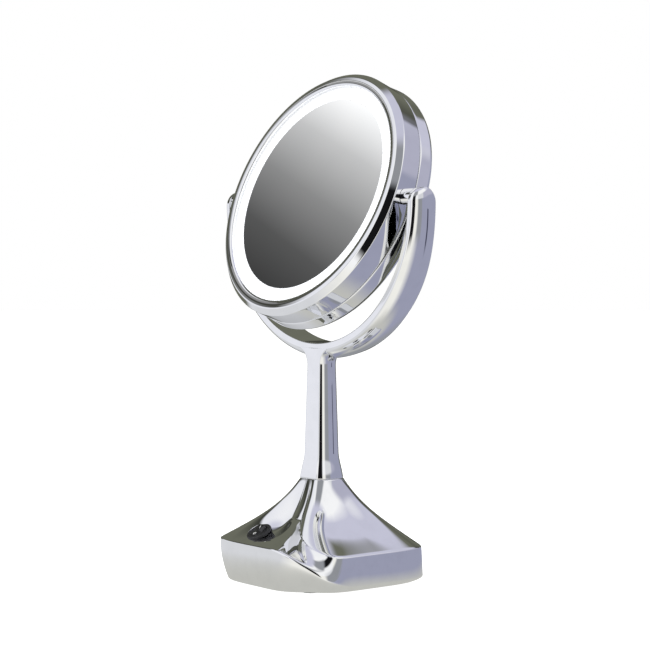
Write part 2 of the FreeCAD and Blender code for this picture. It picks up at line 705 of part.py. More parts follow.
def contact_spring(x, end):
    """Closed coils that press the flat end of a cell; end is -1 at the front wall and 1 at the rear."""
    spring = Part.makeTorus(COIL_R, COIL_WIRE_R)
    for turn in range(1, COIL_TURNS):
        spring = spring.fuse(Part.makeTorus(COIL_R, COIL_WIRE_R, V(0, 0, turn * COIL_PITCH)))
    spring.rotate(V(0, 0, 0), V(1, 0, 0), 90 * end)
    spring.translate(V(x, COIL_START_Y * end, CELL_Z))
    return spring


def contact_plates():
    """Spring-steel strips that link the cells in series along both end walls."""
    x = cell_places()
    spans = [(x[0], x[0], -1), (x[1], x[2], -1), (x[3], x[3], -1), (x[0], x[1], 1), (x[2], x[3], 1)]
    plates = []
    for left, right, end in spans:
        y = 27.7 if end > 0 else -28.0
        plates.append(block(left - 5, right + 5, y, y + 0.3, CELL_Z - 5, CELL_Z + 5))
    return plates


SWITCH_LEADS = (
    [V(-20.5, -41.6, 21.6), V(-20.5, -37.2, 14.2), V(-22.0, -30.1, 12.4)],
    [V(-11.5, -41.6, 21.6), V(-11.5, -37.0, 13.4), V(-22.5, -35.0, 12.4), V(-34.6, -28.0, 12.4),
     V(-35.4, -10.0, 12.4), V(-35.4, 10.0, 12.4), V(-34.6, 28.0, 12.4),
     V(-27.0, 39.0, 12.0), V(-18.2, 42.0, 10.2)])


def base_pieces():
    save("base_cover", base_cover())
    save("base_plate", base_plate())
    save("battery_door", battery_door())
    save("base_screws", *[base_screw(x, y) for x, y in SCREW_PLACES])
    save("rubber_feet", *[disc(7.0, 0, FOOT_H, x, y) for x, y in FOOT_PLACES])
    save("ballast_plate", ballast_plate())
    save("battery_tray", battery_tray())
    cells = [battery_cell(x, k % 2 == 1) for k, x in enumerate(cell_places())]
    save("battery_cells", *cells)
    ends = [1 if k % 2 == 1 else -1 for k in range(4)]
    save("contact_springs", *[contact_spring(x, end) for x, end in zip(cell_places(), ends)])
    save("contact_plates", *contact_plates())
    save("switch_leads", *[wire_along(points, cord_radii(points), LEAD_R) for points in SWITCH_LEADS])
    driver_pieces()


def driver_pieces():
    """LED driver board on the ballast plate, behind the battery tray."""
    low = PLATE_Z + PLATE_T + BALLAST_T
    save("driver_board", block(-18, 18, 35, 50, low, low + 1.2))
    top = low + 1.2
    coil = disc(4.0, top, top + 4.0, -10, 43).cut(disc(1.6, top + 3.2, top + 5, -10, 43))
    chip = block(7.5, 12.5, 41, 45, top, top + 1.6)
    caps = [disc(2.0, top, top + 5.5, x, 38) for x in (6.5, 11.5)]
    save("driver_parts", coil, chip, *caps)


# ---- Switch ----
def switch_housing():
    """Round bezel and barrel with the window of the rocker."""
    flange = turned([(0, 0), (BEZEL_R, 0), (BEZEL_R, 0.8), (BEZEL_R - 0.8, BEZEL_H), (0, BEZEL_H)])
    barrel = disc(BARREL_R, -BARREL_DEPTH, 0)
    wide = ROCKER_HALF_WIDTH + 0.25
    long = ROCKER_HALF + 0.9
    window = block(-wide, wide, -long, long, -8.0, BEZEL_H + 1)
    return flange.fuse(barrel).cut(window)


def switch_rocker():
    """V-topped rocker on its own trunnion line, the lower half pressed in."""
    rise = ROCKER_HALF * math.tan(math.radians(ROCKER_ANGLE))
    half = ROCKER_HALF
    crown = BEZEL_H + 0.2
    top = [(-half, crown + rise), (0, crown), (half, crown + rise)]
    root = [(half, 0.0), (3.6, -5.0), (-3.6, -5.0), (-half, 0.0)]
    outline = top + root + top[:1]
    wide = ROCKER_HALF_WIDTH
    body = Part.Face(Part.makePolygon([V(-wide, y, z) for y, z in outline])).extrude(V(2 * wide, 0, 0))
    body.rotate(V(0, 0, 0), V(1, 0, 0), ROCKER_ANGLE)
    return body


def switch_pieces():
    save("switch_housing", at_switch(switch_housing()))
    save("switch_rocker", at_switch(switch_rocker()))
    blades = [block(x - 2.4, x + 2.4, -0.4, 0.4, -BARREL_DEPTH - 7, -BARREL_DEPTH) for x in (-4.5, 4.5)]
    save("switch_terminals", *[at_switch(b) for b in blades])


head_pieces()
pivot_pieces()
stand_pieces()
base_pieces()
switch_pieces()
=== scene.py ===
"""Lighted vanity mirror: looks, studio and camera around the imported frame."""

import math

import bmesh
import bpy
import numpy as np
from mathutils import Matrix, Vector


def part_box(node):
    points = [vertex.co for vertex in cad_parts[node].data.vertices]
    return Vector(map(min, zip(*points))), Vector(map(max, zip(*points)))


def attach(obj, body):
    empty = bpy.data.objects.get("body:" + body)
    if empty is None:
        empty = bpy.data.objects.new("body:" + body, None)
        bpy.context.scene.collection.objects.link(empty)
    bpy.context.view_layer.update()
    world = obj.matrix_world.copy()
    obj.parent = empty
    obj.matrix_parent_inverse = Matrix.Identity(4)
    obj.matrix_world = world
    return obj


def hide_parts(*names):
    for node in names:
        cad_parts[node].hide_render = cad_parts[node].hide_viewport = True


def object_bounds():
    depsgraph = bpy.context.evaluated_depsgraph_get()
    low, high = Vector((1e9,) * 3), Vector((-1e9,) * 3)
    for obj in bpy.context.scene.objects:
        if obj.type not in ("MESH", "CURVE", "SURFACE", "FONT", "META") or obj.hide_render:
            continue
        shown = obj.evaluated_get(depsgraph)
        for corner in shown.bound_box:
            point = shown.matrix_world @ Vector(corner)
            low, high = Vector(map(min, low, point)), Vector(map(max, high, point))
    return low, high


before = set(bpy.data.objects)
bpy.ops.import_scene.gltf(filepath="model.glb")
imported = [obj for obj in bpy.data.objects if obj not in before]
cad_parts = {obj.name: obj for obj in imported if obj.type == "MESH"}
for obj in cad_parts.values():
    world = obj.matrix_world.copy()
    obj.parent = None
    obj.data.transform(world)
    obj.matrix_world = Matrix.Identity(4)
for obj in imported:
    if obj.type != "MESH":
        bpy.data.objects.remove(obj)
CAD_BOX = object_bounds()
SCENE = bpy.context.scene
MM = 0.001

# ---------------------------------------------------------------- camera

CAMERA_AZIMUTH = math.radians(51.8)
CAMERA_PITCH = math.radians(2.51)
CAMERA_DISTANCE = 1.6025
CAMERA_HEIGHT = 0.2772
CAMERA_OFFSET = 0.0028
CAMERA_LENS = 109.66
CAMERA_SENSOR = 36.0

TO_CAMERA = Vector((math.sin(CAMERA_AZIMUTH), -math.cos(CAMERA_AZIMUTH), 0))
TO_RIGHT = Vector((math.cos(CAMERA_AZIMUTH), math.sin(CAMERA_AZIMUTH), 0))
UP = Vector((0, 0, 1))


def make_camera():
    data = bpy.data.cameras.new("studio_camera")
    data.lens = CAMERA_LENS
    data.sensor_width = CAMERA_SENSOR
    data.clip_end = 50
    camera = bpy.data.objects.new("studio_camera", data)
    SCENE.collection.objects.link(camera)
    camera.location = TO_CAMERA * CAMERA_DISTANCE + TO_RIGHT * CAMERA_OFFSET + UP * CAMERA_HEIGHT
    look = -TO_CAMERA * math.cos(CAMERA_PITCH) - UP * math.sin(CAMERA_PITCH)
    camera.rotation_mode = "QUATERNION"
    camera.rotation_quaternion = look.to_track_quat("-Z", "Y")
    SCENE.camera = camera


# ---------------------------------------------------------------- node helpers

class Graph:
    """Short calls for building a node tree."""

    def __init__(self, tree):
        self.tree = tree
        tree.nodes.clear()

    def add(self, kind, **settings):
        node = self.tree.nodes.new(kind)
        for key, value in settings.items():
            setattr(node, key, value)
        return node

    def link(self, source, target):
        self.tree.links.new(source, target)

    def ramp(self, factor, stops):
        node = self.add("ShaderNodeValToRGB")
        elements = node.color_ramp.elements
        while len(elements) > 1:
            elements.remove(elements[-1])
        elements[0].position = stops[0][0]
        elements[0].color = (*stops[0][1], 1)
        for place, colour in stops[1:]:
            elements.new(place).color = (*colour, 1)
        self.link(factor, node.inputs["Fac"])
        return node.outputs["Color"]

    def noise(self, vector, scale, detail=2.0):
        node = self.add("ShaderNodeTexNoise")
        node.inputs["Scale"].default_value = scale
        node.inputs["Detail"].default_value = detail
        self.link(vector, node.inputs["Vector"])
        return node.outputs["Fac"]

    def span(self, value, low, high, to_low=0.0, to_high=1.0, kind="SMOOTHSTEP"):
        node = self.add("ShaderNodeMapRange", interpolation_type=kind)
        node.inputs["From Min"].default_value = low
        node.inputs["From Max"].default_value = high
        node.inputs["To Min"].default_value = to_low
        node.inputs["To Max"].default_value = to_high
        self.link(value, node.inputs["Value"])
        return node.outputs["Result"]

    def blend(self, factor, first, second):
        node = self.add("ShaderNodeMix", data_type="RGBA")
        self.link(factor, node.inputs["Factor"])
        self.put(first, node.inputs["A"])
        self.put(second, node.inputs["B"])
        return node.outputs["Result"]

    def put(self, value, socket):
        if isinstance(value, bpy.types.NodeSocket):
            self.link(value, socket)
        else:
            socket.default_value = (*value, 1)


# ---------------------------------------------------------------- studio

WHITE = (1.0, 1.0, 1.0)
SOFT_WHITE = (0.86, 0.87, 0.92)
CREAM = (0.95, 0.94, 0.88)
LAVENDER = (0.34, 0.35, 0.46)
MID_LAVENDER = (0.46, 0.46, 0.57)
PALE_LAVENDER = (0.60, 0.60, 0.72)
GREY = (0.30, 0.31, 0.33)
LIGHT_GREY = (0.72, 0.73, 0.75)
OLIVE = (0.15, 0.155, 0.12)
DARK_OLIVE = (0.05, 0.052, 0.042)
BLACK = (0.008, 0.008, 0.009)
DARK_BLUE = (0.03, 0.03, 0.06)

# Colours round the studio by the angle from the camera, positive towards its right, at four heights.
EYE_LEVEL = (
    (-180, OLIVE), (-150, OLIVE), (-139, DARK_OLIVE), (-133, SOFT_WHITE), (-60, SOFT_WHITE), (-45, GREY),
    (-38, WHITE), (-23, WHITE), (-20, BLACK), (4, BLACK), (6, CREAM), (18, CREAM), (26, GREY), (46, GREY),
    (52, LAVENDER), (140, LAVENDER), (150, OLIVE), (180, DARK_OLIVE))
LOW = (
    (-180, OLIVE), (-135, OLIVE), (-112, DARK_OLIVE), (-107, DARK_OLIVE), (-101, SOFT_WHITE), (-24, WHITE),
    (-18, BLACK), (2, BLACK), (8, WHITE), (18, WHITE), (24, LIGHT_GREY), (55, LIGHT_GREY),
    (62, MID_LAVENDER), (128, MID_LAVENDER), (132, DARK_OLIVE), (160, OLIVE), (180, OLIVE))
HIGH = (
    (-180, OLIVE), (-155, OLIVE), (-132, DARK_OLIVE), (-127, DARK_OLIVE), (-119, SOFT_WHITE), (-30, WHITE),
    (-20, GREY), (10, GREY), (20, WHITE), (80, WHITE), (105, PALE_LAVENDER), (136, PALE_LAVENDER),
    (142, OLIVE), (180, OLIVE))
CEILING = PALE_LAVENDER
# Where each band takes over from the one below it, as the height of a direction of length 1.
LOW_SPAN = (0.20, 0.28)
HIGH_SPAN = (0.50, 0.62)
CEILING_SPAN = (0.86, 0.96)

FLOOR_RADIUS = 6.0
TABLE_SHADE = (0.56, 0.56, 0.52)
# The table as the chrome sees it, close to the stand and further out.
TABLE = (
    (-180, GREY), (-150, LIGHT_GREY), (-60, LIGHT_GREY), (-30, CREAM), (10, CREAM), (40, LAVENDER),
    (130, LAVENDER), (160, GREY), (180, GREY))
TABLE_FAR = (
    (-180, DARK_OLIVE), (-160, OLIVE), (-143, OLIVE), (-135, SOFT_WHITE), (-60, SOFT_WHITE), (-45, GREY),
    (-38, WHITE), (-23, WHITE), (-20, BLACK), (4, BLACK), (6, CREAM), (18, CREAM), (26, GREY), (46, GREY),
    (52, LAVENDER), (84, LAVENDER), (87, DARK_BLUE), (90, DARK_BLUE), (93, LAVENDER), (140, LAVENDER),
    (150, OLIVE), (180, DARK_OLIVE))
NEAR_SPAN = (0.07, 0.20)
FAR_SPAN = (0.55, 0.95)

HEAD_TILT = math.radians(22)
CARD_DISTANCE = 0.9
CARD_RADIUS = 0.088
CARD_SIDES = 96
CARD_SHADES = (
    (0, (0.045,) * 3), (0.25, (0.10,) * 3), (0.5, (0.28,) * 3), (0.75, (0.60,) * 3), (1, (1.2,) * 3))


def angle_ramp(g, direction, stops):
    turn = g.add("ShaderNodeVectorRotate", rotation_type="Z_AXIS")
    turn.inputs["Angle"].default_value = math.pi / 2 - CAMERA_AZIMUTH
    g.link(direction, turn.inputs["Vector"])
    around = g.add("ShaderNodeTexGradient", gradient_type="RADIAL")
    g.link(turn.outputs["Vector"], around.inputs["Vector"])
    places = [((angle + 180) / 360, colour) for angle, colour in stops]
    return g.ramp(around.outputs["Fac"], places)


def make_world():
    """Plain white to the camera; coloured bands to everything that reflects it."""
    world = bpy.data.worlds.new("studio")
    SCENE.world = world
    world.use_nodes = True
    g = Graph(world.node_tree)
    direction = g.add("ShaderNodeTexCoord").outputs["Generated"]
    height = g.add("ShaderNodeSeparateXYZ")
    g.link(direction, height.inputs["Vector"])
    colour = angle_ramp(g, direction, EYE_LEVEL)
    for stops, band in ((LOW, LOW_SPAN), (HIGH, HIGH_SPAN)):
        colour = g.blend(g.span(height.outputs["Z"], *band), colour, angle_ramp(g, direction, stops))
    colour = g.blend(g.span(height.outputs["Z"], *CEILING_SPAN), colour, CEILING)
    seen = g.add("ShaderNodeLightPath").outputs["Is Camera Ray"]
    background = g.add("ShaderNodeBackground")
    g.link(g.blend(seen, colour, WHITE), background.inputs["Color"])
    g.link(background.outputs["Background"], g.add("ShaderNodeOutputWorld").inputs["Surface"])


def area_light(name, spot, target, size, power):
    data = bpy.data.lights.new(name, "AREA")
    data.shape = "DISK"
    data.size = size
    data.energy = power
    lamp = bpy.data.objects.new(name, data)
    SCENE.collection.objects.link(lamp)
    lamp.location = spot
    lamp.rotation_mode = "QUATERNION"
    lamp.rotation_quaternion = (target - spot).to_track_quat("-Z", "Y")
    lamp.visible_glossy = False


def make_floor():
    """White table top; what the chrome sees of it is shaded like a studio table further out."""
    mesh = bpy.data.meshes.new("studio_floor")
    bm = bmesh.new()
    bmesh.ops.create_circle(bm, cap_ends=True, segments=96, radius=FLOOR_RADIUS)
    bm.to_mesh(mesh)
    bm.free()
    floor = bpy.data.objects.new("studio_floor", mesh)
    SCENE.collection.objects.link(floor)
    material, g = new_material("studio_floor")
    where = g.add("ShaderNodeTexCoord").outputs["Object"]
    length = g.add("ShaderNodeVectorMath", operation="LENGTH")
    g.link(where, length.inputs[0])
    away = length.outputs["Value"]
    near_tone = g.blend(g.span(away, *NEAR_SPAN), TABLE_SHADE, angle_ramp(g, where, TABLE))
    tone = g.blend(g.span(away, *FAR_SPAN), near_tone, angle_ramp(g, where, TABLE_FAR))
    reflected = g.add("ShaderNodeEmission")
    g.link(tone, reflected.inputs["Color"])
    top = g.add("ShaderNodeBsdfPrincipled")
    top.inputs["Base Color"].default_value = (0.92, 0.92, 0.92, 1)
    top.inputs["Roughness"].default_value = 0.10
    top.inputs["Specular IOR Level"].default_value = 0.30
    top.inputs["Emission Color"].default_value = (1, 1, 1, 1)
    top.inputs["Emission Strength"].default_value = 0.92
    choice = g.add("ShaderNodeMixShader")
    g.link(g.add("ShaderNodeLightPath").outputs["Is Camera Ray"], choice.inputs["Fac"])
    g.link(reflected.outputs["Emission"], choice.inputs[1])
    g.link(top.outputs["BSDF"], choice.inputs[2])
    g.link(choice.outputs["Shader"], g.add("ShaderNodeOutputMaterial").inputs["Surface"])
    mesh.materials.append(material)


def make_mirror_card():
    """Round graded card that the flat mirror looks at: bright at its upper right, dark at its lower left."""
    lo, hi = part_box("front_mirror")
    centre = (lo + hi) / 2
    normal = Vector((0, -math.cos(HEAD_TILT), math.sin(HEAD_TILT)))
    across = Vector((1, 0, 0))
    upward = Vector((0, math.sin(HEAD_TILT), math.cos(HEAD_TILT)))
    eye = SCENE.camera.location
    behind = (eye - centre).dot(normal)
    image = eye - normal * 2 * behind
    mesh = bpy.data.meshes.new("mirror_card")
    bm = bmesh.new()
    rim = []
    for k in range(CARD_SIDES):
        angle = 2 * math.pi * k / CARD_SIDES
        point = centre + (across * math.cos(angle) + upward * math.sin(angle)) * CARD_RADIUS
        rim.append(bm.verts.new(image + (point - image) * (behind + CARD_DISTANCE) / behind))
    bm.faces.new(rim)
    bm.to_mesh(mesh)
    bm.free()
    card = bpy.data.objects.new("mirror_card", mesh)
    SCENE.collection.objects.link(card)
    middle = image + (centre - image) * (behind + CARD_DISTANCE) / behind
    slant = (upward * 0.93 + across * 0.37).normalized()
    reach = CARD_RADIUS * (behind + CARD_DISTANCE) / behind
    material, g = new_material("mirror_card")
    along = g.add("ShaderNodeVectorMath", operation="DOT_PRODUCT")
    g.link(g.add("ShaderNodeTexCoord").outputs["Object"], along.inputs[0])
    along.inputs[1].default_value = slant
    start = middle.dot(slant)
    share = g.span(along.outputs["Value"], start - reach, start + reach, kind="LINEAR")
    glow = g.add("ShaderNodeEmission")
    g.link(g.ramp(share, CARD_SHADES), glow.inputs["Color"])
    g.link(glow.outputs["Emission"], g.add("ShaderNodeOutputMaterial").inputs["Surface"])
    mesh.materials.append(material)
    card.visible_camera = False
    card.visible_diffuse = False
    card.visible_shadow = False


def make_studio():
    SCENE.view_settings.view_transform = "Standard"
    make_world()
    make_floor()
    make_mirror_card()
    height = CAD_BOX[1].z
    middle = Vector((0, 0, height * 0.5))
    area_light("key_light", middle + Vector((-0.9, -1.1, 1.3)), middle, 1.2, 14)
    area_light("top_light", middle + Vector((0.1, 0.3, 1.9)), middle, 1.8, 20)
    area_light("side_light", middle + Vector((1.5, 0.1, 0.7)), middle, 1.0, 7)


# ---------------------------------------------------------------- materials

def new_material(name):
    material = bpy.data.materials.new(name)
    material.use_nodes = True
    return material, Graph(material.node_tree)


def surface(g, colour, rough, metallic=0.0, bump=None, **sockets):
    """Principled shader; colour and rough may be sockets, other values are set on its own sockets."""
    shader = g.add("ShaderNodeBsdfPrincipled")
    g.put(colour, shader.inputs["Base Color"])
    if isinstance(rough, bpy.types.NodeSocket):
        g.link(rough, shader.inputs["Roughness"])
    else:
        shader.inputs["Roughness"].default_value = rough
    shader.inputs["Metallic"].default_value = metallic
    for name, value in sockets.items():
        shader.inputs[name.replace("_", " ")].default_value = value
    if bump is not None:
        g.link(bump, shader.inputs["Normal"])
    g.link(shader.outputs["BSDF"], g.add("ShaderNodeOutputMaterial").inputs["Surface"])
    return shader


def bumped(g, height, strength, distance):
    node = g.add("ShaderNodeBump")
    node.inputs["Strength"].default_value = strength
    node.inputs["Distance"].default_value = distance
    g.link(height, node.inputs["Height"])
    return node.outputs["Normal"]


def place(g):
    return g.add("ShaderNodeTexCoord").outputs["Object"]


def plated(name, tint, rough_low, rough_high, waviness=0.0):
    """Plated metal: faint polishing haze, a little dust and, where a waviness is given, a slow waviness."""
    material, g = new_material(name)
    where = place(g)
    haze = g.span(g.noise(where, 35, 4), 0.35, 0.75, rough_low, rough_high)
    deep = [c * 0.97 for c in tint]
    colour = g.blend(g.span(g.noise(where, 90, 3), 0.4, 0.7), tint, deep)
    bump = bumped(g, g.noise(where, 60, 1), waviness, 0.0002) if waviness else None
    surface(g, colour, haze, 1.0, bump)
    return material


def moulded(name, tint, rough, grain_scale=900, grain=0.25):
    """Moulded plastic or rubber with a fine grain and slight tone variation."""
    material, g = new_material(name)
    where = place(g)
    deep = [c * 0.82 for c in tint]
    colour = g.blend(g.span(g.noise(where, 120, 3), 0.3, 0.7), tint, deep)
    roughness = g.span(g.noise(where, 260, 2), 0.3, 0.7, rough, min(1.0, rough + 0.12))
    bump = bumped(g, g.noise(where, grain_scale, 2), grain, 0.0001)
    surface(g, colour, roughness, 0.0, bump)
    return material


def brushed(name, tint, rough):
    """Drawn or stamped metal with fine streaks along the part."""
    material, g = new_material(name)
    stretch = g.add("ShaderNodeMapping")
    stretch.inputs["Scale"].default_value = (1.0, 0.08, 1.0)
    g.link(place(g), stretch.inputs["Vector"])
    streaks = g.noise(stretch.outputs["Vector"], 1400, 3)
    dark = [c * 0.8 for c in tint]
    colour = g.blend(g.span(streaks, 0.35, 0.65), tint, dark)
    roughness = g.span(streaks, 0.3, 0.7, rough, rough + 0.15)
    surface(g, colour, roughness, 1.0, bumped(g, streaks, 0.15, 0.00005))
    return material


def frosted_ring(name):
    """Lit frosted ring: an even glow that is slightly clouded."""
    material, g = new_material(name)
    where = place(g)
    grain = g.noise(where, 1500, 2)
    cloud = g.span(g.noise(where, 45, 2), 0.3, 0.7)
    glow = g.blend(cloud, (0.90, 0.92, 0.95), (0.98, 0.985, 1.0))
    shader = surface(g, (0.93, 0.94, 0.95), 0.45, 0.0, bumped(g, grain, 0.2, 0.0001))
    g.link(glow, shader.inputs["Emission Color"])
    shader.inputs["Emission Strength"].default_value = 0.32
    return material


def solder_mask(name, tint):
    """Circuit board: mask colour with routed tracks showing through as lighter lines."""
    material, g = new_material(name)
    tracks = g.add("ShaderNodeTexBrick")
    tracks.inputs["Scale"].default_value = 160
    tracks.inputs["Mortar Size"].default_value = 0.06
    tracks.inputs["Color1"].default_value = (*tint, 1)
    tracks.inputs["Color2"].default_value = (*[c * 0.85 for c in tint], 1)
    tracks.inputs["Mortar"].default_value = (*[min(1.0, c * 1.35 + 0.02) for c in tint], 1)
    g.link(place(g), tracks.inputs["Vector"])
    bump = bumped(g, tracks.outputs["Fac"], 0.3, 0.00004)
    surface(g, tracks.outputs["Color"], 0.3, 0.0, bump, Coat_Weight=0.3)
    return material


def sleeved_cell(name):
    """Sleeve of a dry cell: dark body with a copper-coloured end band."""
    material, g = new_material(name)
    parts = g.add("ShaderNodeSeparateXYZ")
    g.link(place(g), parts.inputs["Vector"])
    band = g.span(parts.outputs["Y"], 0.0120, 0.0124)
    colour = g.blend(band, (0.05, 0.055, 0.07), (0.55, 0.27, 0.10))
    fleck = g.noise(place(g), 300, 3)
    surface(g, g.blend(g.span(fleck, 0.55, 0.8), colour, (0.2, 0.2, 0.22)), 0.3, 0.3)
    return material


def silver_glass(name):
    """Silvered mirror glass: faint cloudiness and a few dust specks."""
    material, g = new_material(name)
    where = place(g)
    dust = g.span(g.noise(where, 700, 4), 0.70, 0.78, 0.012, 0.06)
    tone = g.blend(g.span(g.noise(where, 12, 2), 0.3, 0.7), (0.90, 0.91, 0.92), (0.93, 0.935, 0.94))
    surface(g, tone, dust, 1.0, None, Coat_Weight=0.5, Coat_Roughness=0.01)
    return material


CHROME = plated("chrome_shell", (0.90, 0.905, 0.92), 0.012, 0.045)
MATERIALS = {
    "chrome_shell": CHROME,
    "screw_steel": plated("screw_steel", (0.62, 0.63, 0.65), 0.16, 0.30, 0.1),
    "spring_steel": plated("spring_steel", (0.70, 0.69, 0.66), 0.18, 0.35, 0.1),
    "silvered_glass": silver_glass("silvered_glass"),
    "frosted_diffuser": frosted_ring("frosted_diffuser"),
    "white_plastic": moulded("white_plastic", (0.86, 0.86, 0.85), 0.35),
    "black_plastic": moulded("black_plastic", (0.025, 0.025, 0.027), 0.50),
    "switch_black": moulded("switch_black", (0.016, 0.016, 0.018), 0.36),
    "switch_black_gloss": moulded("switch_black_gloss", (0.013, 0.013, 0.015), 0.16, 700, 0.08),
    "foot_rubber": moulded("foot_rubber", (0.03, 0.03, 0.032), 0.75),
    "component_black": moulded("component_black", (0.04, 0.04, 0.045), 0.45),
    "lead_sleeve": moulded("lead_sleeve", (0.035, 0.035, 0.035), 0.42),
    "foam_tape": moulded("foam_tape", (0.74, 0.74, 0.72), 0.85, 500, 0.6),
    "led_white": moulded("led_white", (0.92, 0.90, 0.74), 0.30),
    "tube_steel": brushed("tube_steel", (0.58, 0.59, 0.61), 0.24),
    "ballast_steel": brushed("ballast_steel", (0.42, 0.43, 0.45), 0.34),
    "bush_brass": brushed("bush_brass", (0.76, 0.60, 0.30), 0.22),
    "brass_tin": brushed("brass_tin", (0.72, 0.62, 0.38), 0.26),
    "circuit_board": solder_mask("circuit_board", (0.03, 0.20, 0.10)),
    "circuit_board_white": solder_mask("circuit_board_white", (0.80, 0.81, 0.79)),
    "cell_wrap": sleeved_cell("cell_wrap"),
}


def dress_cad_nodes():
    """Gives every CAD node the material of its slot in the record."""
    slot_of = {}
    for name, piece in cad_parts.items():
        old = piece.data.materials[0].name if piece.data.materials else ""
        slot_of[name] = old.split(".")[0]
    for name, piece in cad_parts.items():
        material = MATERIALS.get(slot_of[name], CHROME)
        if not piece.data.materials:
            piece.data.materials.append(material)
        for slot in piece.material_slots:
            slot.link = "OBJECT"
            slot.material = material


# ---------------------------------------------------------------- base cover

NECK_Z = 83.0
NECK_R = 17.6
NECK_FLAT = 14.2
RIM_Z = 0.7
COVER_WALL = 2.2
BELOW_FOOT = 8.0
FRONT_EDGE_Z = 33.6        # top edge of the wall along the front
REAR_EDGE_Z = 5.6          # and where it ends, low on the sides and the rear
SWEEP_FOOT_Z = 28.2        # the upper sweep starts here on the sides and the rear
WALL_LEAN = 1.6            # how far the sides lean in below that
FOLD_R = 31.0              # the front slope folds over at this radius
FOLD_Z = 52.0              # and this height
EDGE_ROUND = 1.6


def ease(value, low, high):
    t = np.clip((value - low) / (high - low), 0, 1)
    return t * t * (3 - 2 * t)


def mix(first, second, weight):
    return first + (second - first) * weight


def soft_min(a, b, width):
    gap = np.clip(width - np.abs(a - b), 0, None) / width
    return np.minimum(a, b) - gap * gap * width / 4


def near(phi, centre, reach):
    """1 at that bearing, easing to 0 at reach degrees away from it."""
    away = np.abs((phi - centre + 180) % 360 - 180)
    return 1 - ease(away, 0, reach)


def outline(phi, half_x, half_y, power):
    """Radius of a rounded square at a bearing, 0 at the front and 90 on the right."""
    s = np.abs(np.sin(np.radians(phi))) / half_x
    c = np.abs(np.cos(np.radians(phi))) / half_y
    return (s ** power + c ** power) ** (-1 / power)


def flare(z, foot_r, foot_z, neck_r, linear):
    """Radius of the sweep from the wall's top edge up to the neck; linear is how straight it runs."""
    u = np.linspace(0, 1, 90)
    heights = foot_z + (NECK_Z - foot_z) * (linear * u + (1 - linear) * u ** 4.5)
    swept = np.interp(z, heights, foot_r + (neck_r - foot_r) * u)
    return swept + BELOW_FOOT * np.clip(foot_z - z, 0, None)


def cover_radius(phi, z):
    """Outer radius of the base cover, in mm, at one bearing and an array of heights."""
    corner = near(phi, -39, 45) + near(phi, 141, 45) + near(phi, -141, 45)
    front_right = near(phi, 42, 45)
    foot = outline(phi, 62.8, 64.5, 4.2 - 1.8 * front_right)
    full = outline(phi, 67.0, 68.0, 4.9 - 2.0 * front_right)
    neck = soft_min(np.array(NECK_R), NECK_FLAT / max(0.05, math.cos(math.radians(phi))), 1.0)
    neck = mix(NECK_R, neck, float(abs(phi) < 80))       # only the front of the neck is flat

    # The wall's top edge runs along the front and falls towards the rim at the front right corner.
    fall = ease(phi, 17, 76)
    back = 1 - ease(phi, -112, -66)
    low_z = mix(mix(FRONT_EDGE_Z, REAR_EDGE_Z, fall), REAR_EDGE_Z, back)
    curl = 1 - (1 - np.clip((phi - 20) / 48, 0, 1)) ** 1.8
    high_r = mix(FOLD_R, full - WALL_LEAN, curl)
    high_z = mix(FOLD_Z, SWEEP_FOOT_Z, curl)

    wall_rise = np.clip((z - RIM_Z) / max(low_z * 0.86 - RIM_Z, 4.0), 0, 1)
    wall = foot + (full - foot) * np.sin(wall_rise * math.pi / 2) ** 0.9
    side = full + (np.clip(z, None, high_z) - low_z) * (high_r - full) / (high_z - low_z)
    plain_side = full - WALL_LEAN * (z - REAR_EDGE_Z) / (SWEEP_FOOT_Z - REAR_EDGE_Z)
    straight = 0.60 + 0.18 * corner
    front_line = mix(0.32, 0.74, near(phi, -40, 38))
    front_slope = flare(z, full, FRONT_EDGE_Z, neck, front_line)
    swept = flare(z, high_r, high_z, neck, mix(0.85, straight, ease(phi, 20, 68)))
    plain_sweep = flare(z, full - WALL_LEAN, SWEEP_FOOT_Z, neck, straight)
    turn = ease(phi, -8, 26)
    middle = mix(mix(front_slope, side, turn), plain_side, back)
    upper = mix(mix(front_slope, swept, turn), plain_sweep, back)
    return soft_min(soft_min(wall, middle, EDGE_ROUND), upper, EDGE_ROUND)


def cover_mesh(around=540, up=150):
    phis = np.linspace(-180, 180, around, endpoint=False)
    levels = RIM_Z + (NECK_Z - RIM_Z) * np.linspace(0, 1, up) ** 1.25
    outer = [cover_radius(phi, levels) for phi in phis]
    rows = []
    for shift in (0.0, COVER_WALL):
        grid = np.zeros((up, around, 3))
        for k, phi in enumerate(phis):
            radius = outer[k] - shift
            grid[:, k, 0] = radius * math.sin(math.radians(phi))
            grid[:, k, 1] = -radius * math.cos(math.radians(phi))
            grid[:, k, 2] = levels
        rows.append(grid)
    ring = np.concatenate([rows[0], rows[1][::-1]])
    verts = ring.reshape(-1, 3) * MM
    faces = []
    total = 2 * up
    for j in range(total):
        below = j * around
        above = ((j + 1) % total) * around
        for k in range(around):
            after = (k + 1) % around
            faces.append((below + k, below + after, above + after, above + k))
    mesh = bpy.data.meshes.new("base_cover_shell")
    mesh.from_pydata(verts.tolist(), [], faces)
    mesh.polygons.foreach_set("use_smooth", [True] * len(faces))
    mesh.update()
    return mesh


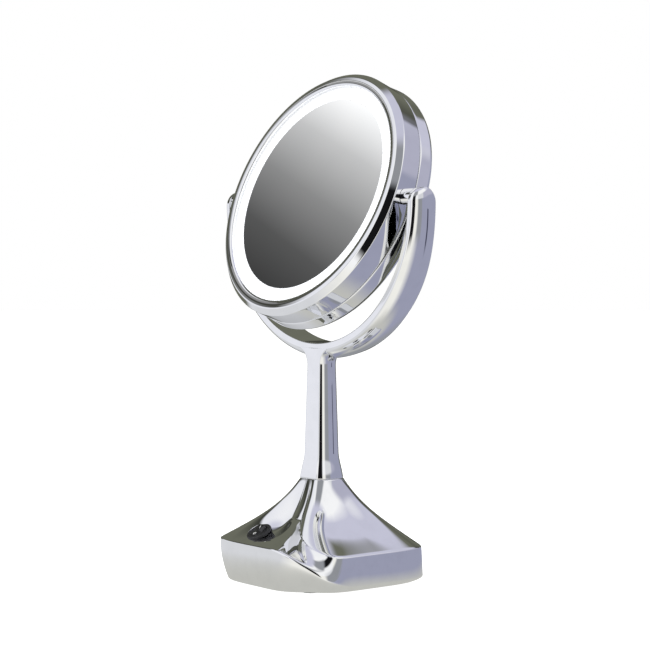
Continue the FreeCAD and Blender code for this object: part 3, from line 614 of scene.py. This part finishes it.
def ring_mesh(name, loops, closed):
    """Skin over a list of equal closed loops of points in mm; capped at both ends unless closed."""
    count = len(loops[0])
    verts = np.concatenate(loops) * MM
    faces = []
    last = len(loops) if closed else len(loops) - 1
    for j in range(last):
        here = j * count
        there = ((j + 1) % len(loops)) * count
        for k in range(count):
            after = (k + 1) % count
            faces.append((here + k, here + after, there + after, there + k))
    if not closed:
        faces.append(tuple(range(count))[::-1])
        faces.append(tuple((len(loops) - 1) * count + k for k in range(count)))
    mesh = bpy.data.meshes.new(name)
    mesh.from_pydata(verts.tolist(), [], faces)
    bm = bmesh.new()
    bm.from_mesh(mesh)
    bmesh.ops.recalc_face_normals(bm, faces=bm.faces)
    bm.to_mesh(mesh)
    bm.free()
    mesh.polygons.foreach_set("use_smooth", [len(p.vertices) == 4 for p in mesh.polygons])
    return mesh


def rounded_loop(corners, count, radius):
    """Closed outline through corner points, evenly sampled, with its corners rounded to about radius."""
    points = np.array(corners, float)
    closed = np.vstack([points, points[:1]])
    steps = np.hypot(*np.diff(closed, axis=0).T)
    along = np.concatenate([[0], np.cumsum(steps)])
    fine = 8 * count
    at = np.linspace(0, along[-1], fine, endpoint=False)
    loop = np.stack([np.interp(at, along, closed[:, k]) for k in (0, 1)], axis=1)
    window = max(1, int(round(radius * fine / along[-1])))
    for _ in range(2):
        total = sum(np.roll(loop, shift, axis=0) for shift in range(-window, window + 1))
        loop = total / (2 * window + 1)
    return loop[::8]


# ---------------------------------------------------------------- stem and yoke

PIVOT_Z = 309.0
STEM_FOOT_Z = 83.0
NECK_RADIUS = 11.6
STEM_TAPER = 0.033
FILLET_FOOT_Z = 174.0
FILLET_RISE = 14.6
FILLET_R = 15.0
BELL_TOP_Z = 104.0
BELL_GROWTH = 3.1
YOKE_INNER_R = 116.4
YOKE_FRONT_Y = -8.5
YOKE_REAR_Y = 17.5
ARM_END_R = 11.5
ARM_END_Y = 3.0
ARM_END_Z = 304.5
STRIP_TOP_Z = 238.0
CROWN = 4.8
ARM_WALL = 1.5
CHANNEL_DEPTH = 2.2        # the rear strip lies in this
ARM_FRONT_R = 120.0        # outer edge of the arms, on the front and on the rear
ARM_REAR_R = 123.0
FRONT_GROWTH = 2.0         # how much further out each edge is at the foot of the yoke
REAR_GROWTH = 4.0


def stem_loop(z, front, half, rear):
    """Flat front with a round back, as a closed outline at one height."""
    centre = (rear ** 2 - half ** 2 - front ** 2) / (2 * (rear - front))
    radius = rear - centre
    start = math.atan2(front - centre, half)
    angles = np.linspace(start, math.pi - start, 72)
    back = np.stack([radius * np.cos(angles), centre + radius * np.sin(angles)], axis=1)
    flat = np.stack([np.linspace(-half, half, 14)[1:-1], np.full(12, front)], axis=1)
    loop = rounded_loop(np.vstack([back, flat]), 120, 0.45)
    return np.column_stack([loop, np.full(len(loop), z)])


def stem_loops():
    loops = []
    for z in np.linspace(STEM_FOOT_Z + 0.15, FILLET_FOOT_Z, 90):
        bell = ease(BELL_TOP_Z - z, 0, BELL_TOP_Z - STEM_FOOT_Z + 2)
        radius = NECK_RADIUS + STEM_TAPER * (FILLET_FOOT_Z - z) + BELL_GROWTH * bell
        front = YOKE_FRONT_Y - 0.95 * (radius - NECK_RADIUS)
        loops.append(stem_loop(z, front, math.sqrt(radius ** 2 - front ** 2), radius))
    centre_x = math.sqrt(NECK_RADIUS ** 2 - YOKE_FRONT_Y ** 2) + FILLET_R
    for part in np.sin(np.linspace(0.05, 1, 24) * math.pi / 2):
        height = FILLET_RISE * part
        half = centre_x - math.sqrt(FILLET_R ** 2 - height ** 2)
        loops.append(stem_loop(FILLET_FOOT_Z + height, YOKE_FRONT_Y, half, NECK_RADIUS + 4.0 * part ** 2))
    return loops


def arm_loop(bearing):
    """Section of the yoke at an angle from straight down, as radius from the axis against depth."""
    slope = math.cos(bearing)
    outer_front = ARM_FRONT_R + FRONT_GROWTH * max(0.0, slope)
    outer_rear = ARM_REAR_R + REAR_GROWTH * max(0.0, slope)
    z = PIVOT_Z - YOKE_INNER_R * slope
    front = YOKE_FRONT_Y
    rear = mix(YOKE_REAR_Y, ARM_END_Y + ARM_END_R, ease(z, STRIP_TOP_Z, ARM_END_Z))
    if z > ARM_END_Z:
        half = math.sqrt(max(0.3, ARM_END_R ** 2 - (z - ARM_END_Z) ** 2))
        front = ARM_END_Y - half
        rear = ARM_END_Y + half
    share = np.linspace(0, 1, 25)
    depth = mix(front, rear, share)
    width = (rear - front) / (YOKE_REAR_Y - YOKE_FRONT_Y)
    outer = mix(outer_front, outer_rear, share) + CROWN * width * np.sin(math.pi * share ** 0.75)
    channel = CHANNEL_DEPTH * (1 - ease(z, STRIP_TOP_Z - 0.5, STRIP_TOP_Z + 0.5))
    lip = [(rear, outer[-1] - ARM_WALL), (rear - channel, outer[-1] - ARM_WALL - 0.01),
           (rear - channel, YOKE_INNER_R + ARM_WALL + 0.01), (rear, YOKE_INNER_R + ARM_WALL)]
    section = list(zip(depth, outer)) + lip + [(rear, YOKE_INNER_R), (front, YOKE_INNER_R)]
    return rounded_loop(section, 110, 0.4)


def yoke_loops():
    top = math.acos((PIVOT_Z - ARM_END_Z - ARM_END_R) / YOKE_INNER_R) - 0.002
    loops = []
    for bearing in np.sin(np.linspace(-1, 1, 341) * math.pi / 2) * top:
        loop = arm_loop(bearing)
        radius = loop[:, 1]
        x = radius * math.sin(bearing)
        z = PIVOT_Z - radius * math.cos(bearing)
        loops.append(np.column_stack([x, loop[:, 0], z]))
    return loops


def make_yoke():
    stem = ring_mesh("stem_skin", stem_loops(), False)
    arms = ring_mesh("yoke_skin", yoke_loops(), False)
    bm = bmesh.new()
    bm.from_mesh(stem)
    bm.from_mesh(arms)
    mesh = bpy.data.meshes.new("yoke_stem_shell")
    bm.to_mesh(mesh)
    bm.free()
    add_piece("yoke_stem_shell", mesh, "stand", "chrome_shell", ["yoke_stem"])


# ---------------------------------------------------------------- head

SEAM_W = -6.8
SEAM_GAP = 0.35
BEZEL_SECTION = (
    (93.3, 12.2), (93.3, 14.6), (94.6, 15.5), (97.4, 15.8), (100.7, 15.4), (105.0, 10.7),
    (105.0, SEAM_W + SEAM_GAP), (102.8, SEAM_W + SEAM_GAP), (102.8, 10.2), (99.6, 12.6), (97.4, 12.2))
REAR_SECTION = (
    (105.0, SEAM_W), (105.25, SEAM_W - 1.0), (106.3, -17.0), (105.2, -19.6), (102.0, -19.9), (91.6, -19.9),
    (91.0, -19.2), (91.0, -17.6), (102.4, -17.6), (102.8, SEAM_W))


def lathe_in_head(name, section, edge, around=288):
    """Turns a section of radius against W round the head's axis, then tilts it into place."""
    loop = rounded_loop(section, 150, edge)
    loops = []
    for k in range(around):
        angle = 2 * math.pi * k / around
        across = loop[:, 0] * math.cos(angle)
        upward = loop[:, 0] * math.sin(angle)
        depth = loop[:, 1]
        y = upward * math.sin(HEAD_TILT) - depth * math.cos(HEAD_TILT)
        z = PIVOT_Z + upward * math.cos(HEAD_TILT) + depth * math.sin(HEAD_TILT)
        loops.append(np.column_stack([across, y, z]))
    return ring_mesh(name, loops, True)


def make_head():
    bezel = lathe_in_head("front_bezel_shell", BEZEL_SECTION, 0.35)
    add_piece("front_bezel_shell", bezel, "mirror_head", "chrome_shell", ["front_bezel"])
    rear = lathe_in_head("rear_cover_shell", REAR_SECTION, 0.35)
    add_piece("rear_cover_shell", rear, "mirror_head", "chrome_shell", ["rear_cover"])


def add_piece(name, mesh, body, slot, nodes):
    piece = bpy.data.objects.new(name, mesh)
    SCENE.collection.objects.link(piece)
    mesh.materials.append(MATERIALS[slot])
    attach(piece, body)
    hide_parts(*nodes)
    return piece


def make_base_cover():
    cover = add_piece("base_cover_shell", cover_mesh(), "stand", "chrome_shell", ["base_cover"])
    cut_switch_hole(cover)


# ---------------------------------------------------------------- switch

SWITCH_PLACE = Vector((-16.0, -51.0, 40.6)) * MM
SWITCH_SLOPE = math.radians(28)
ROCKER_ANGLE = math.radians(12)
BEZEL_R = 10.5
BEZEL_H = 2.0
BARREL_R = 9.4
BARREL_FOOT = -9.0
HOLE_GAP = 0.25
ROCKER_HALF = 6.4
ROCKER_HALF_WIDTH = 5.0
ROCKER_FACE_Z = BEZEL_H + 0.2
ROCKER_RISE = math.tan(ROCKER_ANGLE)
WINDOW_GAP = 0.35


def at_switch(mesh, tilt=0.0):
    mesh.transform(Matrix.Translation(SWITCH_PLACE) @ Matrix.Rotation(SWITCH_SLOPE + tilt, 4, "X"))
    mesh.update()
    return mesh


def oval(half_x, half_y, power, z, count=96):
    """Closed outline between an ellipse and a rounded rectangle, as points at one height."""
    angle = np.linspace(0, 2 * math.pi, count, endpoint=False)
    c = np.cos(angle)
    s = np.sin(angle)
    radius = (np.abs(c / half_x) ** power + np.abs(s / half_y) ** power) ** (-1 / power)
    return np.column_stack([radius * c, radius * s, np.full(count, z)])


def make_housing():
    """Barrel and rounded bezel, with the window that the rocker sits in."""
    window_x = ROCKER_HALF_WIDTH + WINDOW_GAP
    window_y = ROCKER_HALF + 2 * WINDOW_GAP
    rounds = ((BARREL_R, BARREL_FOOT), (BARREL_R, -0.4), (BEZEL_R, -0.3), (BEZEL_R, 1.0),
              (BEZEL_R - 0.25, 1.55), (BEZEL_R - 0.8, 1.9), (BEZEL_R - 1.6, BEZEL_H))
    loops = [oval(radius, radius, 2, z) for radius, z in rounds]
    loops.append(oval(window_x + 0.35, window_y + 0.35, 4, BEZEL_H))
    loops.append(oval(window_x, window_y, 4, BEZEL_H - 0.4))
    loops.append(oval(window_x, window_y, 4, BARREL_FOOT))
    housing = at_switch(ring_mesh("switch_housing_shell", loops, True))
    add_piece("switch_housing_shell", housing, "stand", "switch_black", ["switch_housing"])


def make_rocker():
    """Rocker whose face is a shallow valley, higher at both ends."""
    foot = oval(ROCKER_HALF_WIDTH * 0.6, ROCKER_HALF * 0.5, 4, -5.0)
    loops = [foot, oval(ROCKER_HALF_WIDTH, ROCKER_HALF, 5, 0.0)]
    for share in (1.0, 0.97, 0.90, 0.80, 0.66, 0.50, 0.34, 0.18, 0.05):
        loop = oval(ROCKER_HALF_WIDTH * share, ROCKER_HALF * share, 5, 0.0)
        edge = 0.9 * (1 - share) ** 0.5 - 0.55
        loop[:, 2] = ROCKER_FACE_Z + ROCKER_RISE * np.sqrt(loop[:, 1] ** 2 + 0.6) + edge
        loops.append(loop)
    rocker = at_switch(ring_mesh("switch_rocker_shell", loops, False), ROCKER_ANGLE)
    add_piece("switch_rocker_shell", rocker, "rocker", "switch_black_gloss", ["switch_rocker"])


def make_marks():
    """Generic bar and ring, one on each half of the rocker."""
    inlay, g = new_material("switch_mark")
    tone = g.blend(g.span(g.noise(place(g), 900, 2), 0.3, 0.7), (0.80, 0.80, 0.78), (0.70, 0.70, 0.68))
    surface(g, tone, 0.5)
    centre_y = ROCKER_HALF * 0.55
    height = ROCKER_FACE_Z + ROCKER_RISE * math.hypot(centre_y, 0.77) + 0.12
    bar = ring_mesh("switch_mark_on", [oval(0.26, 1.35, 8, z, 24) for z in (-0.25, 0.1)], False)
    sizes = ((1.25, -0.25), (1.25, 0.1), (0.80, 0.1), (0.80, -0.25))
    ring = ring_mesh("switch_mark_off", [oval(r, r * 1.15, 2, z, 40) for r, z in sizes], True)
    for mesh, side in ((bar, 1), (ring, -1)):
        lean = Matrix.Translation(Vector((0, centre_y * side, height)) * MM)
        mesh.transform(lean @ Matrix.Rotation(ROCKER_ANGLE * side, 4, "X"))
        mark = bpy.data.objects.new(mesh.name, at_switch(mesh, ROCKER_ANGLE))
        SCENE.collection.objects.link(mark)
        mesh.materials.append(inlay)
        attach(mark, "rocker")


def cut_switch_hole(cover):
    """Round hole in the front slope for the barrel of the switch."""
    radius = BARREL_R + HOLE_GAP
    plug = at_switch(ring_mesh("hole", [oval(radius, radius, 2, z) for z in (-16, 9)], False))
    tool = bpy.data.objects.new("hole", plug)
    SCENE.collection.objects.link(tool)
    cut = cover.modifiers.new("hole", "BOOLEAN")
    cut.operation = "DIFFERENCE"
    cut.solver = "EXACT"
    cut.object = tool
    bpy.context.view_layer.update()
    made = bpy.data.meshes.new_from_object(cover.evaluated_get(bpy.context.evaluated_depsgraph_get()))
    cover.modifiers.clear()
    cover.data = made
    bpy.data.objects.remove(tool)


make_camera()
make_studio()
dress_cad_nodes()
make_base_cover()
make_yoke()
make_head()
make_housing()
make_rocker()
make_marks()
